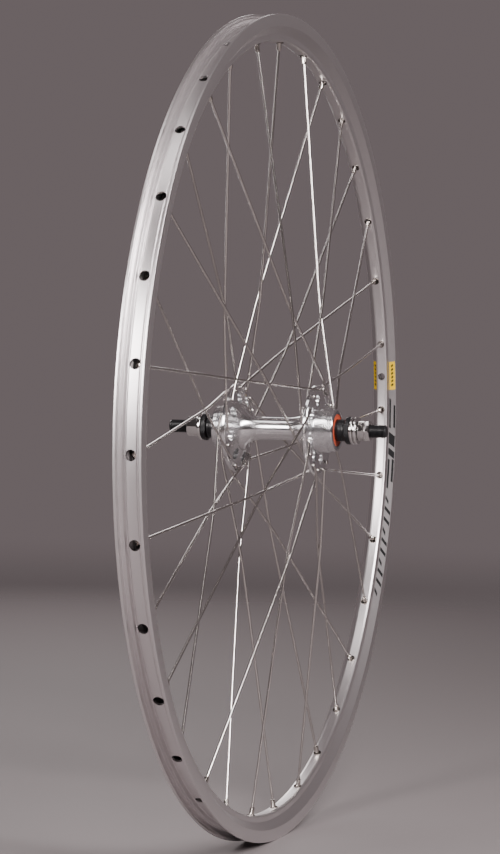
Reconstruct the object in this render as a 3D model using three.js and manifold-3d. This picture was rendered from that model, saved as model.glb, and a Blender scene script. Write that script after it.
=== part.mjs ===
// A 700C rear track wheel: hooked double-wall rim, 32 spokes laced three-cross and interlaced,
// high-flange hub threaded on both ends, and a solid axle on two sealed cartridge bearings.
//
// Millimetres. The origin is the middle of the hub on the axle's centre line. +Y is the wheel's
// axis and points to the non-drive side, +X is the direction of travel, and +Z is up.

import * as THREE from "three";
import { mergeVertices } from "three/addons/utils/BufferGeometryUtils.js";
import Module from "manifold-3d";

const wasm = await Module();
wasm.setup();

// ---- Fits ----
const GAP = 0.3; // between pieces that touch on the real wheel
const RUNNING_GAP = 0.45; // between pieces that turn against each other

// ---- Rim: radii are measured down from its outer edge ----
const RIM_RADIUS = 317;
const RIM_WIDTH = 20.6;
const RIM_DEPTH = 20.1;
const TYRE_WALL = 1.5;
const BEAD_SEAT_DEPTH = 6;
const WELL_DEPTH = 2; // below the bead seat
const WELL_WIDTH = 11;
const WELL_SLOPE = 0.6;
const TRACK_HEIGHT = 9.3;
const SHOULDER_DROP = 5.6;
const NOSE_WIDTH = 9.9;
const NOSE_CORNER = 1.4;
const BED_WALL = 1.8; // both the tyre bed and the spoke bed
const SIDE_WALL = 1.3;
const ACCESS_HOLE_DIAMETER = 7.8;
const VALVE_HOLE_DIAMETER = 6.5;
const VALVE_ANGLE = 8.5; // degrees above the forward horizontal
const HOLE_STAGGER = 0.35; // each spoke hole stands this far to its own side

// ---- Lacing ----
const SPOKE_COUNT = 32;
const CROSSINGS = 3;
const SPOKE_DIAMETER = 2;
const SPOKE_HEAD_DIAMETER = 3.9;
const SPOKE_HEAD_HEIGHT = 1.2;
const SPOKE_SIDES = 6;
const ELBOW_STEPS = 2;
const NIPPLE_DIAMETER = 4;
const NIPPLE_LENGTH = 12;
const NIPPLE_HEAD_DIAMETER = 5.8;
const NIPPLE_HEAD_HEIGHT = 3;
const NIPPLE_CLEARANCE = 0.4; // under its leaning head, over the facets of the spoke bed
const NIPPLE_SIDES = 6;

// ---- Hub and axle ----
const OVER_LOCKNUTS = 120;
const AXLE_DIAMETER = 10;
const AXLE_END = 28; // beyond each locknut
const AXLE_CHAMFER = 1.2;
const AXLE_WAIST = 11; // diameter between the bearings
const JOURNAL_STEP = 1; // each step of the axle's radius, thread to journal to shoulder
const SHOULDER_WIDTH = 6;
const FLANGE_SPACING = 65; // between the flanges' middles
const FLANGE_THICKNESS = 3.5;
const HOLE_CIRCLE_DIAMETER = 63;
const FLANGE_MARGIN = 3; // from the hole circle to the flange's edge
const SPOKE_HOLE_CLEARANCE = 0.6;
const FLANGE_LAND = 2.4; // flat face left inside the hole circle, for the spoke heads
const FLANGE_TAPER = 3; // the inner face slopes this far from its land down to the flare
const LIGHTENING_HOLES = 8;
const LIGHTENING_SIZE = 0.71; // of the room between the sprocket's shoulder and the spoke holes
const LIGHTENING_PLACE = 0.45; // of the same room, measured from the shoulder
const BARREL_WALL = 1.3;
const FLARE_RADIUS = 18; // where the barrel meets the flange
const FLARE_LENGTH = 18;
const FLARE_STEPS = 5;
const COG_THREAD_DIAMETER = 34.8;
const LOCKRING_THREAD_DIAMETER = 32.8;
const LOCKRING_THREAD_LENGTH = 5;
const COG_SHOULDER_WIDTH = 0.8; // the step that a sprocket screws up against
const COG_SHOULDER_HEIGHT = 0.8;

// ---- Bearings ----
const BEARING_WIDTH = 8;
const BEARING_SECTION = 8; // from its bore to its outside
const RING_THICKNESS = 1.6;
const BALL_COUNT = 8;
const BALL_DIAMETER = 4.2;
const CAGE_THICKNESS = 1;
const CAGE_WIDTH = 3.6;
const SEAL_THICKNESS = 0.7;
const SEAL_RECESS = 0.3;

// ---- Axle hardware ----
const SPACER_DIAMETER = 17;
const SPACER_LENGTH = 6.9;
const LOCKNUT_DIAMETER = 21.4;
const LOCKNUT_WIDTH = 3.7;
const LOCKNUT_FLATS = 19;
const WASHER_DIAMETER = 21;
const WASHER_THICKNESS = 2.6;
const NUT_FLATS = 15;
const NUT_LENGTH = 9.4;

// ---- Facets ----
const RIM_SEGMENTS = 64;
const HUB_SEGMENTS = 32;
const SMALL_SEGMENTS = 16;
const HOLE_SIDES = 8;
const BALL_SEGMENTS = 6;
const BALL_RINGS = 4;
const WELD = 0.001; // corners nearer than this are one corner

// ---- Places worked out from the sizes above ----
const radians = THREE.MathUtils.degToRad;
const HOLE_PITCH = 360 / SPOKE_COUNT;
const LACING_TURN = (CROSSINGS * 720) / SPOKE_COUNT; // from a spoke's rim hole to its hub hole
const HOLE_CIRCLE_RADIUS = HOLE_CIRCLE_DIAMETER / 2;
const SPOKE_BED_RADIUS = RIM_RADIUS - RIM_DEPTH;
const WELL_RADIUS = RIM_RADIUS - BEAD_SEAT_DEPTH - WELL_DEPTH;
const FLANGE_MIDDLE = FLANGE_SPACING / 2;
const SPOKE_RISE = SPOKE_BED_RADIUS - HOLE_CIRCLE_RADIUS * Math.cos(radians(LACING_TURN));
const SPOKE_TURN = HOLE_CIRCLE_RADIUS * Math.sin(radians(LACING_TURN));
const SPOKE_LEAN = Math.hypot(SPOKE_TURN, FLANGE_MIDDLE) / SPOKE_RISE; // off its hole's axis
const NIPPLE_LIFT = (NIPPLE_HEAD_DIAMETER / 2) * SPOKE_LEAN + NIPPLE_CLEARANCE;
const NIPPLE_SWING = (BED_WALL + NIPPLE_LIFT) * SPOKE_LEAN; // sideways, where it leaves the wall
const NIPPLE_HOLE_RADIUS = NIPPLE_DIAMETER / 2 + NIPPLE_SWING + GAP; // to the hole's flats
const NIPPLE_HOLE_CORNER = NIPPLE_HOLE_RADIUS / Math.cos(Math.PI / HOLE_SIDES);
const FLANGE_OUTER_FACE = FLANGE_MIDDLE + FLANGE_THICKNESS / 2;
const FLANGE_INNER_FACE = FLANGE_MIDDLE - FLANGE_THICKNESS / 2;
const LOCKNUT_FACE = OVER_LOCKNUTS / 2;
const AXLE_TIP = LOCKNUT_FACE + AXLE_END;
const LOCKNUT_BACK = LOCKNUT_FACE - LOCKNUT_WIDTH;
const SPACER_BACK = LOCKNUT_BACK - GAP - SPACER_LENGTH;
const HUB_END = SPACER_BACK - GAP;
const BEARING_OUTER_FACE = HUB_END;
const BEARING_INNER_FACE = BEARING_OUTER_FACE - BEARING_WIDTH;
const AXLE_RADIUS = AXLE_DIAMETER / 2;
const JOURNAL_RADIUS = AXLE_RADIUS + JOURNAL_STEP;
const SHOULDER_RADIUS = JOURNAL_RADIUS + JOURNAL_STEP;
const BEARING_BORE_RADIUS = JOURNAL_RADIUS + GAP;
const BEARING_OUTER_RADIUS = BEARING_BORE_RADIUS + BEARING_SECTION;
const BALL_TRACK_RADIUS = (BEARING_BORE_RADIUS + BEARING_OUTER_RADIUS) / 2;
const BARREL_BORE_RADIUS = SHOULDER_RADIUS + RUNNING_GAP;
const BARREL_RADIUS = BARREL_BORE_RADIUS + BARREL_WALL;

const SIDES = [
  { name: "drive", sign: -1 },
  { name: "non_drive", sign: 1 },
];

const FINISHES = {
  rim: { color: 0xb9bbbe, roughness: 0.38, metalness: 0.9 },
  hub: { color: 0xd2d3d5, roughness: 0.16, metalness: 1 },
  stainless: { color: 0xc6c7c9, roughness: 0.22, metalness: 1 },
  bearing: { color: 0x9fa2a6, roughness: 0.2, metalness: 1 },
  seal: { color: 0xa83a24, roughness: 0.55, metalness: 0 },
  black: { color: 0x17181a, roughness: 0.42, metalness: 0.6 },
  chrome: { color: 0xd9dadc, roughness: 0.1, metalness: 1 },
};

const wheel = new THREE.Group();

// ---- Helpers ----

function solidOf(geometry) {
  const bare = geometry.clone();
  bare.deleteAttribute("normal");
  bare.deleteAttribute("uv");
  const merged = mergeVertices(bare, WELD);
  const corners = merged.index.array;
  const kept = [];
  for (let i = 0; i < corners.length; i += 3) {
    const [a, b, c] = corners.slice(i, i + 3);
    if (a !== b && b !== c && c !== a) kept.push(a, b, c);
  }
  return new wasm.Manifold(
    new wasm.Mesh({
      numProp: 3,
      vertProperties: merged.attributes.position.array,
      triVerts: new Uint32Array(kept),
    }),
  );
}

function geometryOf(solid) {
  const { vertProperties, triVerts } = solid.getMesh();
  const geometry = new THREE.BufferGeometry();
  geometry.setAttribute("position", new THREE.BufferAttribute(vertProperties, 3));
  geometry.setIndex(new THREE.BufferAttribute(triVerts, 1));
  geometry.computeVertexNormals();
  return geometry;
}

const joined = (first, ...others) => others.reduce((all, other) => all.add(other), first);
const cut = (first, ...tools) => tools.reduce((left, tool) => left.subtract(tool), first);

function place(name, solid, finish) {
  const material = new THREE.MeshStandardMaterial(FINISHES[finish]);
  const mesh = new THREE.Mesh(geometryOf(solid), material);
  mesh.name = name;
  wheel.add(mesh);
}

// A solid turned about the wheel's axis, from [radius, y] points that close on themselves.
function turned(points, segments) {
  const outline = points.map(([radius, y]) => new THREE.Vector2(radius, y));
  if (THREE.ShapeUtils.area(outline) < 0) outline.reverse();
  outline.push(outline[0].clone());
  return solidOf(new THREE.LatheGeometry(outline, segments));
}

// The same outline on both sides of the middle plane, from one side's points.
const mirrored = (points) => [...points, ...points.map(([radius, y]) => [radius, -y]).reverse()];

// A ring between two radii and two stations on the axis, on the given side.
function ring(sign, inner, outer, near, far) {
  const corners = [
    [inner, sign * near],
    [outer, sign * near],
    [outer, sign * far],
    [inner, sign * far],
  ];
  return turned(corners, SMALL_SEGMENTS);
}

// A point at a radius and an angle about the axis; angles run from +X up to +Z.
function polar(radius, degrees, y) {
  const angle = radians(degrees);
  return new THREE.Vector3(radius * Math.cos(angle), y, radius * Math.sin(angle));
}

// A round bar from one point to another.
function bar(from, to, radius, sides, endRadius = radius) {
  const along = to.clone().sub(from);
  const geometry = new THREE.CylinderGeometry(endRadius, radius, along.length(), sides);
  const turn = new THREE.Quaternion().setFromUnitVectors(
    new THREE.Vector3(0, 1, 0),
    along.clone().normalize(),
  );
  geometry.applyQuaternion(turn);
  geometry.translate(...from.clone().add(to).multiplyScalar(0.5));
  return solidOf(geometry);
}

// A curve sampled exactly at its own stations, so that a short elbow and a long shaft share it.
class StationCurve extends THREE.Curve {
  constructor(stations) {
    super();
    this.stations = stations;
  }
  getPointAt(u) {
    return this.stations[Math.round(u * (this.stations.length - 1))].clone();
  }
  getTangentAt(u) {
    const last = this.stations.length - 1;
    const i = Math.round(u * last);
    const ahead = this.stations[Math.min(i + 1, last)];
    const behind = this.stations[Math.max(i - 1, 0)];
    return ahead.clone().sub(behind).normalize();
  }
}

function wire(stations, radius, sides) {
  const section = new THREE.Shape();
  for (let i = 0; i < sides; i++) {
    const angle = (2 * Math.PI * i) / sides;
    const corner = [radius * Math.cos(angle), radius * Math.sin(angle)];
    if (i === 0) section.moveTo(...corner);
    else section.lineTo(...corner);
  }
  const options = { steps: stations.length - 1, extrudePath: new StationCurve(stations) };
  return solidOf(new THREE.ExtrudeGeometry(section, options));
}

// ---- Spoke pattern: even holes lace to the drive flange, odd ones to the non-drive flange, and
// on each side a leading spoke, which leaves inside its flange, is followed by a trailing one,
// which leaves outside it ----
function lacing(hole) {
  const side = SIDES[hole % 2];
  const leading = hole % 4 < 2;
  const rimAngle = VALVE_ANGLE + (hole + 0.5) * HOLE_PITCH;
  const hubAngle = rimAngle + (leading ? LACING_TURN : -LACING_TURN);
  return { side, leading, rimAngle, hubAngle };
}

// ---- Rim ----
function rim() {
  const half = RIM_WIDTH / 2;
  const trackFoot = RIM_RADIUS - TRACK_HEIGHT;
  const noseTop = trackFoot - SHOULDER_DROP;
  const seat = RIM_RADIUS - BEAD_SEAT_DEPTH;
  const section = mirrored([
    [WELL_RADIUS, WELL_WIDTH / 2 - WELL_SLOPE],
    [seat, WELL_WIDTH / 2],
    [seat, half - TYRE_WALL],
    [RIM_RADIUS, half - TYRE_WALL],
    [RIM_RADIUS, half],
    [trackFoot, half],
    [noseTop, NOSE_WIDTH / 2],
    [SPOKE_BED_RADIUS + NOSE_CORNER, NOSE_WIDTH / 2],
    [SPOKE_BED_RADIUS, NOSE_WIDTH / 2 - NOSE_CORNER],
  ]);

  // The hollow between the beds keeps one wall's thickness inside the shoulders and the nose.
  const run = half - NOSE_WIDTH / 2;
  const slant = Math.hypot(run, SHOULDER_DROP);
  const ceiling = WELL_RADIUS - BED_WALL;
  const noseInside = NOSE_WIDTH / 2 - SIDE_WALL;
  const slantShift = (SIDE_WALL * slant) / run; // how far the slanted wall moves along the radius
  const slope = run / SHOULDER_DROP;
  const hollow = mirrored([
    [ceiling, NOSE_WIDTH / 2 + (ceiling - noseTop - slantShift) * slope],
    [noseTop + slantShift - SIDE_WALL / slope, noseInside],
    [SPOKE_BED_RADIUS + BED_WALL, noseInside],
  ]);

  const holes = [];
  for (let hole = 0; hole < SPOKE_COUNT; hole++) {
    const { side, rimAngle } = lacing(hole);
    const y = side.sign * HOLE_STAGGER;
    const underTyreBed = polar(ceiling - BED_WALL, rimAngle, y);
    const outside = polar(RIM_RADIUS, rimAngle, y);
    holes.push(bar(underTyreBed, outside, ACCESS_HOLE_DIAMETER / 2, HOLE_SIDES));
    const inside = polar(SPOKE_BED_RADIUS - BED_WALL, rimAngle, y);
    const inHollow = polar(SPOKE_BED_RADIUS + 2 * BED_WALL, rimAngle, y);
    holes.push(bar(inside, inHollow, NIPPLE_HOLE_CORNER, HOLE_SIDES));
  }
  const valveFrom = polar(SPOKE_BED_RADIUS - BED_WALL, VALVE_ANGLE, 0);
  const valveTo = polar(RIM_RADIUS, VALVE_ANGLE, 0);
  holes.push(bar(valveFrom, valveTo, VALVE_HOLE_DIAMETER / 2, HOLE_SIDES));
  place("rim", cut(turned(section, RIM_SEGMENTS), turned(hollow, RIM_SEGMENTS), ...holes), "rim");
}

// ---- Spokes, each with its nipple screwed on ----

// How far along a spoke, from rim to hub, its crossing nearest the rim lies. The two spokes that
// meet there start from neighbouring rim holes of one side, so each is half of twice the pitch
// away from the line midway between them.
function crossingShare(rimRadius) {
  const apart = HOLE_PITCH;
  const rimReach = rimRadius * Math.sin(radians(apart));
  const hubReach = HOLE_CIRCLE_RADIUS * Math.sin(radians(LACING_TURN - apart));
  return rimReach / (rimReach + hubReach);
}

function spoke(hole) {
  const { side, leading, rimAngle, hubAngle } = lacing(hole);
  const exit = leading ? -1 : 1; // towards the wheel's middle, or away from it
  const radius = SPOKE_DIAMETER / 2;
  const bend = radius + GAP; // from the flange's face to the middle of the spoke

  const headRadius = SPOKE_BED_RADIUS + BED_WALL + NIPPLE_LIFT;
  const seat = polar(headRadius, rimAngle, side.sign * HOLE_STAGGER);
  const runsAt = side.sign * (FLANGE_MIDDLE + exit * (FLANGE_THICKNESS / 2 + bend));
  const elbow = polar(HOLE_CIRCLE_RADIUS, hubAngle, runsAt);

  // At the crossing nearest the rim a trailing spoke passes inside the leading one.
  const share = crossingShare(headRadius);
  const crossing = seat.clone().lerp(polar(HOLE_CIRCLE_RADIUS, hubAngle, 0), share);
  const middleAt = THREE.MathUtils.lerp(HOLE_STAGGER, FLANGE_MIDDLE, share);
  crossing.y = side.sign * (middleAt - exit * bend);

  // The spoke lies flat on the flange until it has passed its edge.
  const flat = new THREE.Vector3(seat.x - elbow.x, 0, seat.z - elbow.z).normalize();
  const inward = flat.dot(polar(1, hubAngle, 0)) * HOLE_CIRCLE_RADIUS;
  const edge = HOLE_CIRCLE_RADIUS + FLANGE_MARGIN + radius;
  const clear = -inward + Math.sqrt(inward ** 2 + edge ** 2 - HOLE_CIRCLE_RADIUS ** 2);
  const overEdge = elbow.clone().addScaledVector(flat, clear);

  const through = new THREE.Vector3(0, side.sign * exit, 0);
  const headDrop = bend + FLANGE_THICKNESS + GAP + SPOKE_HEAD_HEIGHT;
  const headTop = elbow.clone().addScaledVector(through, -headDrop);
  const stations = [headTop];
  const bendCentre = elbow.clone().addScaledVector(through, -bend).addScaledVector(flat, bend);
  for (let i = 0; i <= ELBOW_STEPS; i++) {
    const angle = (Math.PI / 2) * (i / ELBOW_STEPS);
    const station = bendCentre.clone().addScaledVector(flat, -bend * Math.cos(angle));
    stations.push(station.addScaledVector(through, bend * Math.sin(angle)));
  }
  const shaft = seat.clone().sub(crossing).normalize();
  const tip = seat.clone().addScaledVector(shaft, NIPPLE_HEAD_HEIGHT / 2);
  stations.push(overEdge, crossing, tip);

  const headFoot = headTop.clone().addScaledVector(through, SPOKE_HEAD_HEIGHT);
  const head = bar(headTop, headFoot, SPOKE_HEAD_DIAMETER / 2, SPOKE_SIDES);
  const bodyEnd = seat.clone().addScaledVector(shaft, NIPPLE_HEAD_HEIGHT - NIPPLE_LENGTH);
  const headEnd = seat.clone().addScaledVector(shaft, NIPPLE_HEAD_HEIGHT);
  const nippleBody = bar(bodyEnd, headEnd, NIPPLE_DIAMETER / 2, NIPPLE_SIDES);
  const nippleHead = bar(seat, headEnd, NIPPLE_HEAD_DIAMETER / 2, NIPPLE_SIDES);
  const order = String(Math.floor(hole / 2) + 1).padStart(2, "0");
  const whole = joined(wire(stations, radius, SPOKE_SIDES), head, nippleBody, nippleHead);
  place(`spoke_${side.name}_${order}`, whole, "stainless");
}

// ---- Hub shell ----
function hubShell() {
  const edge = HOLE_CIRCLE_RADIUS + FLANGE_MARGIN;
  const flareEnd = FLANGE_INNER_FACE - FLANGE_TAPER;
  const flare = [];
  for (let i = 0; i <= FLARE_STEPS; i++) {
    const turn = (Math.PI / 2) * (i / FLARE_STEPS);
    const rise = (FLARE_RADIUS - BARREL_RADIUS) * (1 - Math.cos(turn));
    flare.push([BARREL_RADIUS + rise, flareEnd - FLARE_LENGTH * (1 - Math.sin(turn))]);
  }
  const cogRadius = COG_THREAD_DIAMETER / 2;
  const shoulderRadius = cogRadius + COG_SHOULDER_WIDTH;
  const shoulderFace = FLANGE_OUTER_FACE + COG_SHOULDER_HEIGHT;
  const lockringRadius = LOCKRING_THREAD_DIAMETER / 2;
  const lockringStart = HUB_END - LOCKRING_THREAD_LENGTH;
  const seatRadius = BEARING_OUTER_RADIUS + GAP;
  const seatEnd = BEARING_INNER_FACE - GAP;
  const section = mirrored([
    ...flare,
    [HOLE_CIRCLE_RADIUS - FLANGE_LAND, FLANGE_INNER_FACE],
    [edge, FLANGE_INNER_FACE],
    [edge, FLANGE_OUTER_FACE],
    [shoulderRadius, FLANGE_OUTER_FACE],
    [shoulderRadius, shoulderFace],
    [cogRadius, shoulderFace],
    [cogRadius, lockringStart],
    [lockringRadius, lockringStart],
    [lockringRadius, HUB_END],
    [seatRadius, HUB_END],
    [seatRadius, seatEnd],
    [BARREL_BORE_RADIUS, seatEnd],
  ]);

  const holes = [];
  const holeFrom = flareEnd - GAP;
  const holeTo = FLANGE_OUTER_FACE + GAP;
  const across = (radius, angle, sign, diameter, sides) => {
    const from = polar(radius, angle, sign * holeFrom);
    const to = polar(radius, angle, sign * holeTo);
    holes.push(bar(from, to, diameter / 2, sides));
  };
  for (let hole = 0; hole < SPOKE_COUNT; hole++) {
    const { side, hubAngle } = lacing(hole);
    const diameter = SPOKE_DIAMETER + SPOKE_HOLE_CLEARANCE;
    across(HOLE_CIRCLE_RADIUS, hubAngle, side.sign, diameter, SPOKE_SIDES);
  }

  // The lightening holes are drilled through both flanges at the same angles. On the drive side
  // each is in line with a spoke hole, and on the other side it is between two.
  const spokeHoleRadius = (SPOKE_DIAMETER + SPOKE_HOLE_CLEARANCE) / 2;
  const room = HOLE_CIRCLE_RADIUS - spokeHoleRadius - shoulderRadius;
  const ringRadius = shoulderRadius + LIGHTENING_PLACE * room;
  for (const { sign } of SIDES) {
    for (let i = 0; i < LIGHTENING_HOLES; i++) {
      const angle = VALVE_ANGLE + HOLE_PITCH / 2 + (360 * i) / LIGHTENING_HOLES;
      across(ringRadius, angle, sign, LIGHTENING_SIZE * room, HOLE_SIDES);
    }
  }
  place("hub_shell", cut(turned(section, HUB_SEGMENTS), ...holes), "hub");
}

// ---- Axle: threaded ends, a ground journal for each bearing, and a shoulder behind it ----
function axle() {
  const shoulderFace = BEARING_INNER_FACE - GAP;
  const waistStart = shoulderFace - SHOULDER_WIDTH;
  const side = [
    [AXLE_WAIST / 2, waistStart],
    [SHOULDER_RADIUS, waistStart],
    [SHOULDER_RADIUS, shoulderFace],
    [JOURNAL_RADIUS, shoulderFace],
    [JOURNAL_RADIUS, BEARING_OUTER_FACE],
    [AXLE_RADIUS, BEARING_OUTER_FACE],
    [AXLE_RADIUS, AXLE_TIP - AXLE_CHAMFER],
    [AXLE_RADIUS - AXLE_CHAMFER, AXLE_TIP],
    [0, AXLE_TIP],
  ];
  const outline = [...side.map(([radius, y]) => [radius, -y]).reverse(), ...side];
  const points = outline.map(([radius, y]) => new THREE.Vector2(radius, y));
  place("axle", solidOf(new THREE.LatheGeometry(points, SMALL_SEGMENTS)), "black");
}

// ---- One sealed cartridge bearing: two rings, balls held in a cage, and a seal on each face ----
function bearing({ name, sign }) {
  const middle = (BEARING_OUTER_FACE + BEARING_INNER_FACE) / 2;
  const innerTop = BEARING_BORE_RADIUS + RING_THICKNESS;
  const outerBottom = BEARING_OUTER_RADIUS - RING_THICKNESS;
  const ballRadius = BALL_DIAMETER / 2;
  const grooveHalf = ballRadius + RUNNING_GAP;
  const grooved = (wall, lip, groove) =>
    turned(
      [
        [wall, sign * BEARING_INNER_FACE],
        [lip, sign * BEARING_INNER_FACE],
        [lip, sign * (middle - grooveHalf)],
        [groove, sign * (middle - ballRadius / 2)],
        [groove, sign * (middle + ballRadius / 2)],
        [lip, sign * (middle + grooveHalf)],
        [lip, sign * BEARING_OUTER_FACE],
        [wall, sign * BEARING_OUTER_FACE],
      ],
      SMALL_SEGMENTS,
    );
  const grooveInner = BALL_TRACK_RADIUS - ballRadius - RUNNING_GAP;
  const grooveOuter = BALL_TRACK_RADIUS + ballRadius + RUNNING_GAP;
  const innerRing = grooved(BEARING_BORE_RADIUS, innerTop, grooveInner);
  const outerRing = grooved(BEARING_OUTER_RADIUS, outerBottom, grooveOuter);
  place(`bearing_inner_ring_${name}`, innerRing, "bearing");
  place(`bearing_outer_ring_${name}`, outerRing, "bearing");

  const cageIn = BALL_TRACK_RADIUS - CAGE_THICKNESS / 2;
  const cageOut = BALL_TRACK_RADIUS + CAGE_THICKNESS / 2;
  let cage = ring(sign, cageIn, cageOut, middle - CAGE_WIDTH / 2, middle + CAGE_WIDTH / 2);
  for (let i = 0; i < BALL_COUNT; i++) {
    const ball = new THREE.SphereGeometry(ballRadius, BALL_SEGMENTS, BALL_RINGS);
    ball.translate(...polar(BALL_TRACK_RADIUS, (360 * i) / BALL_COUNT, sign * middle));
    cage = cage.add(solidOf(ball));
  }
  place(`ball_cage_${name}`, cage, "bearing");

  const sealInner = innerTop + RUNNING_GAP;
  const sealOuter = outerBottom - GAP;
  const outerSealAt = BEARING_OUTER_FACE - SEAL_RECESS;
  const innerSealAt = BEARING_INNER_FACE + SEAL_RECESS;
  const outerSeal = ring(sign, sealInner, sealOuter, outerSealAt - SEAL_THICKNESS, outerSealAt);
  const innerSeal = ring(sign, sealInner, sealOuter, innerSealAt, innerSealAt + SEAL_THICKNESS);
  place(`outer_seal_${name}`, outerSeal, "seal");
  place(`inner_seal_${name}`, innerSeal, "seal");
}

// ---- Spacer, locknut, washers and axle nut of one end; the drive end has a second washer ----
function axleHardware({ name, sign }) {
  const bore = AXLE_RADIUS + GAP;
  const spacer = ring(sign, bore, SPACER_DIAMETER / 2, SPACER_BACK, SPACER_BACK + SPACER_LENGTH);
  place(`spacer_${name}`, spacer, "black");

  const disc = ring(sign, bore, LOCKNUT_DIAMETER / 2, LOCKNUT_BACK, LOCKNUT_FACE);
  const flats = new THREE.BoxGeometry(LOCKNUT_FLATS, LOCKNUT_WIDTH * 2, LOCKNUT_DIAMETER * 2);
  flats.translate(0, sign * (LOCKNUT_BACK + LOCKNUT_WIDTH / 2), 0);
  place(`locknut_${name}`, disc.intersect(solidOf(flats)), "black");

  let station = LOCKNUT_FACE + GAP;
  const washers = name === "drive" ? ["inner_washer", "outer_washer"] : ["washer"];
  for (const washer of washers) {
    const end = station + WASHER_THICKNESS;
    place(`${washer}_${name}`, ring(sign, bore, WASHER_DIAMETER / 2, station, end), "chrome");
    station = end + GAP;
  }

  const corner = NUT_FLATS / Math.sqrt(3);
  const hex = new THREE.CylinderGeometry(corner, corner, NUT_LENGTH, 6);
  hex.rotateY(Math.PI / 6); // a corner points along X
  hex.translate(0, sign * (station + NUT_LENGTH / 2), 0);
  const thread = ring(sign, 0, bore, station - GAP, station + NUT_LENGTH + GAP);
  place(`axle_nut_${name}`, solidOf(hex).subtract(thread), "chrome");
}

rim();
for (let hole = 0; hole < SPOKE_COUNT; hole++) spoke(hole);
hubShell();
axle();
for (const side of SIDES) {
  bearing(side);
  axleHardware(side);
}

export default wheel;
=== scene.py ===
import math

import bmesh
import bpy
import numpy as np
from mathutils import Matrix, Vector


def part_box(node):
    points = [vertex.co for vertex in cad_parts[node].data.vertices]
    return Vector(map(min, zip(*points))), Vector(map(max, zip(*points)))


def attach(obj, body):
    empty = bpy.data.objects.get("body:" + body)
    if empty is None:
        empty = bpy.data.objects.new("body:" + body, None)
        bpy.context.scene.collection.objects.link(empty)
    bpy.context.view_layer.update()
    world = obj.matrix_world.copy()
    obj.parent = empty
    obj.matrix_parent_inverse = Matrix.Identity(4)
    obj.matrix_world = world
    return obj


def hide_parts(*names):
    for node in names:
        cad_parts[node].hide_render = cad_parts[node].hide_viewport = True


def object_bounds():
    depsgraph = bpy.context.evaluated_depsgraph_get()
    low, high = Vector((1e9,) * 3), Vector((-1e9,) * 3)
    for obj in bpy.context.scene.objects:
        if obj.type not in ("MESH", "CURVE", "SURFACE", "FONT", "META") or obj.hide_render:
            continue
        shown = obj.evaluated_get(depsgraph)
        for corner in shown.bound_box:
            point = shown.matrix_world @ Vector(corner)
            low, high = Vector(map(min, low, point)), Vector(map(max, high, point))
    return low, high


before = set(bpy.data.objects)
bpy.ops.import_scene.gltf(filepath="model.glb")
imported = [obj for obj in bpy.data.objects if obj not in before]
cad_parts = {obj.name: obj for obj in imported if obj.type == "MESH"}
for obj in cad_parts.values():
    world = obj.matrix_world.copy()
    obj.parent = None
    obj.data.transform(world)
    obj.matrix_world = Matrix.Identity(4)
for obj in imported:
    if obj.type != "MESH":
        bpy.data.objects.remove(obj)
cad_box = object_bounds()

# ---- Camera ----
# A long lens a little under two metres off, behind the wheel on its drive side and level with
# the hub.
CAMERA_AT = Vector((-1.8508, -0.6044, 0.0290))
CAMERA_YAW, CAMERA_PITCH, CAMERA_ROLL = 0.3265, -0.0145, 0.0228
SENSOR = 36.0
LENS = 105.94


def put(name, data):
    """A new object in the scene, holding a mesh, a curve, a lamp or a camera."""
    thing = bpy.data.objects.new(name, data)
    bpy.context.collection.objects.link(thing)
    return thing


ahead = Vector((
    math.cos(CAMERA_PITCH) * math.cos(CAMERA_YAW),
    math.cos(CAMERA_PITCH) * math.sin(CAMERA_YAW),
    math.sin(CAMERA_PITCH),
))
level = ahead.cross(Vector((0, 0, 1))).normalized()
above = level.cross(ahead)
right = level * math.cos(CAMERA_ROLL) + above * math.sin(CAMERA_ROLL)
upward = above * math.cos(CAMERA_ROLL) - level * math.sin(CAMERA_ROLL)
camera_data = bpy.data.cameras.new("camera")
camera_data.sensor_width = SENSOR
camera_data.lens = LENS
camera_data.clip_start = 0.05
camera = put("camera", camera_data)
camera.matrix_world = Matrix.Translation(CAMERA_AT) @ Matrix((
    (right.x, upward.x, -ahead.x, 0),
    (right.y, upward.y, -ahead.y, 0),
    (right.z, upward.z, -ahead.z, 0),
    (0, 0, 0, 1),
))
bpy.context.scene.camera = camera

# ---- Floor and light ----
# A plain floor that melts into a dim warm-grey backdrop, one main softbox behind the wheel on
# its drive side, and weaker ones that lift the other sides.
FLOOR_RADIUS = 4.0
FADE_FROM = 0.7
FADE_TO = FLOOR_RADIUS * 0.98
FLOOR_COLOUR = (0.20, 0.18, 0.182, 1)
BACKDROP = (0.150, 0.124, 0.128, 1)
UNLIT_SIDE = (0.050, 0.042, 0.043, 1)


def mesh_of(shape, name):
    """The mesh of a shape built with bmesh; the shape is then freed."""
    mesh = bpy.data.meshes.new(name)
    shape.to_mesh(mesh)
    shape.free()
    return mesh


disc = bmesh.new()
bmesh.ops.create_circle(disc, cap_ends=True, segments=96, radius=FLOOR_RADIUS)
floor_mesh = mesh_of(disc, "floor")
floor_mesh.transform(Matrix.Translation((0, 0, cad_box[0][2])))
floor = put("floor", floor_mesh)


def new_material(name):
    """An empty node material: its nodes, its links and its main shader."""
    material = bpy.data.materials.new(name)
    material.use_nodes = True
    return material, material.node_tree.nodes, material.node_tree.links, \
        material.node_tree.nodes["Principled BSDF"]


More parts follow.
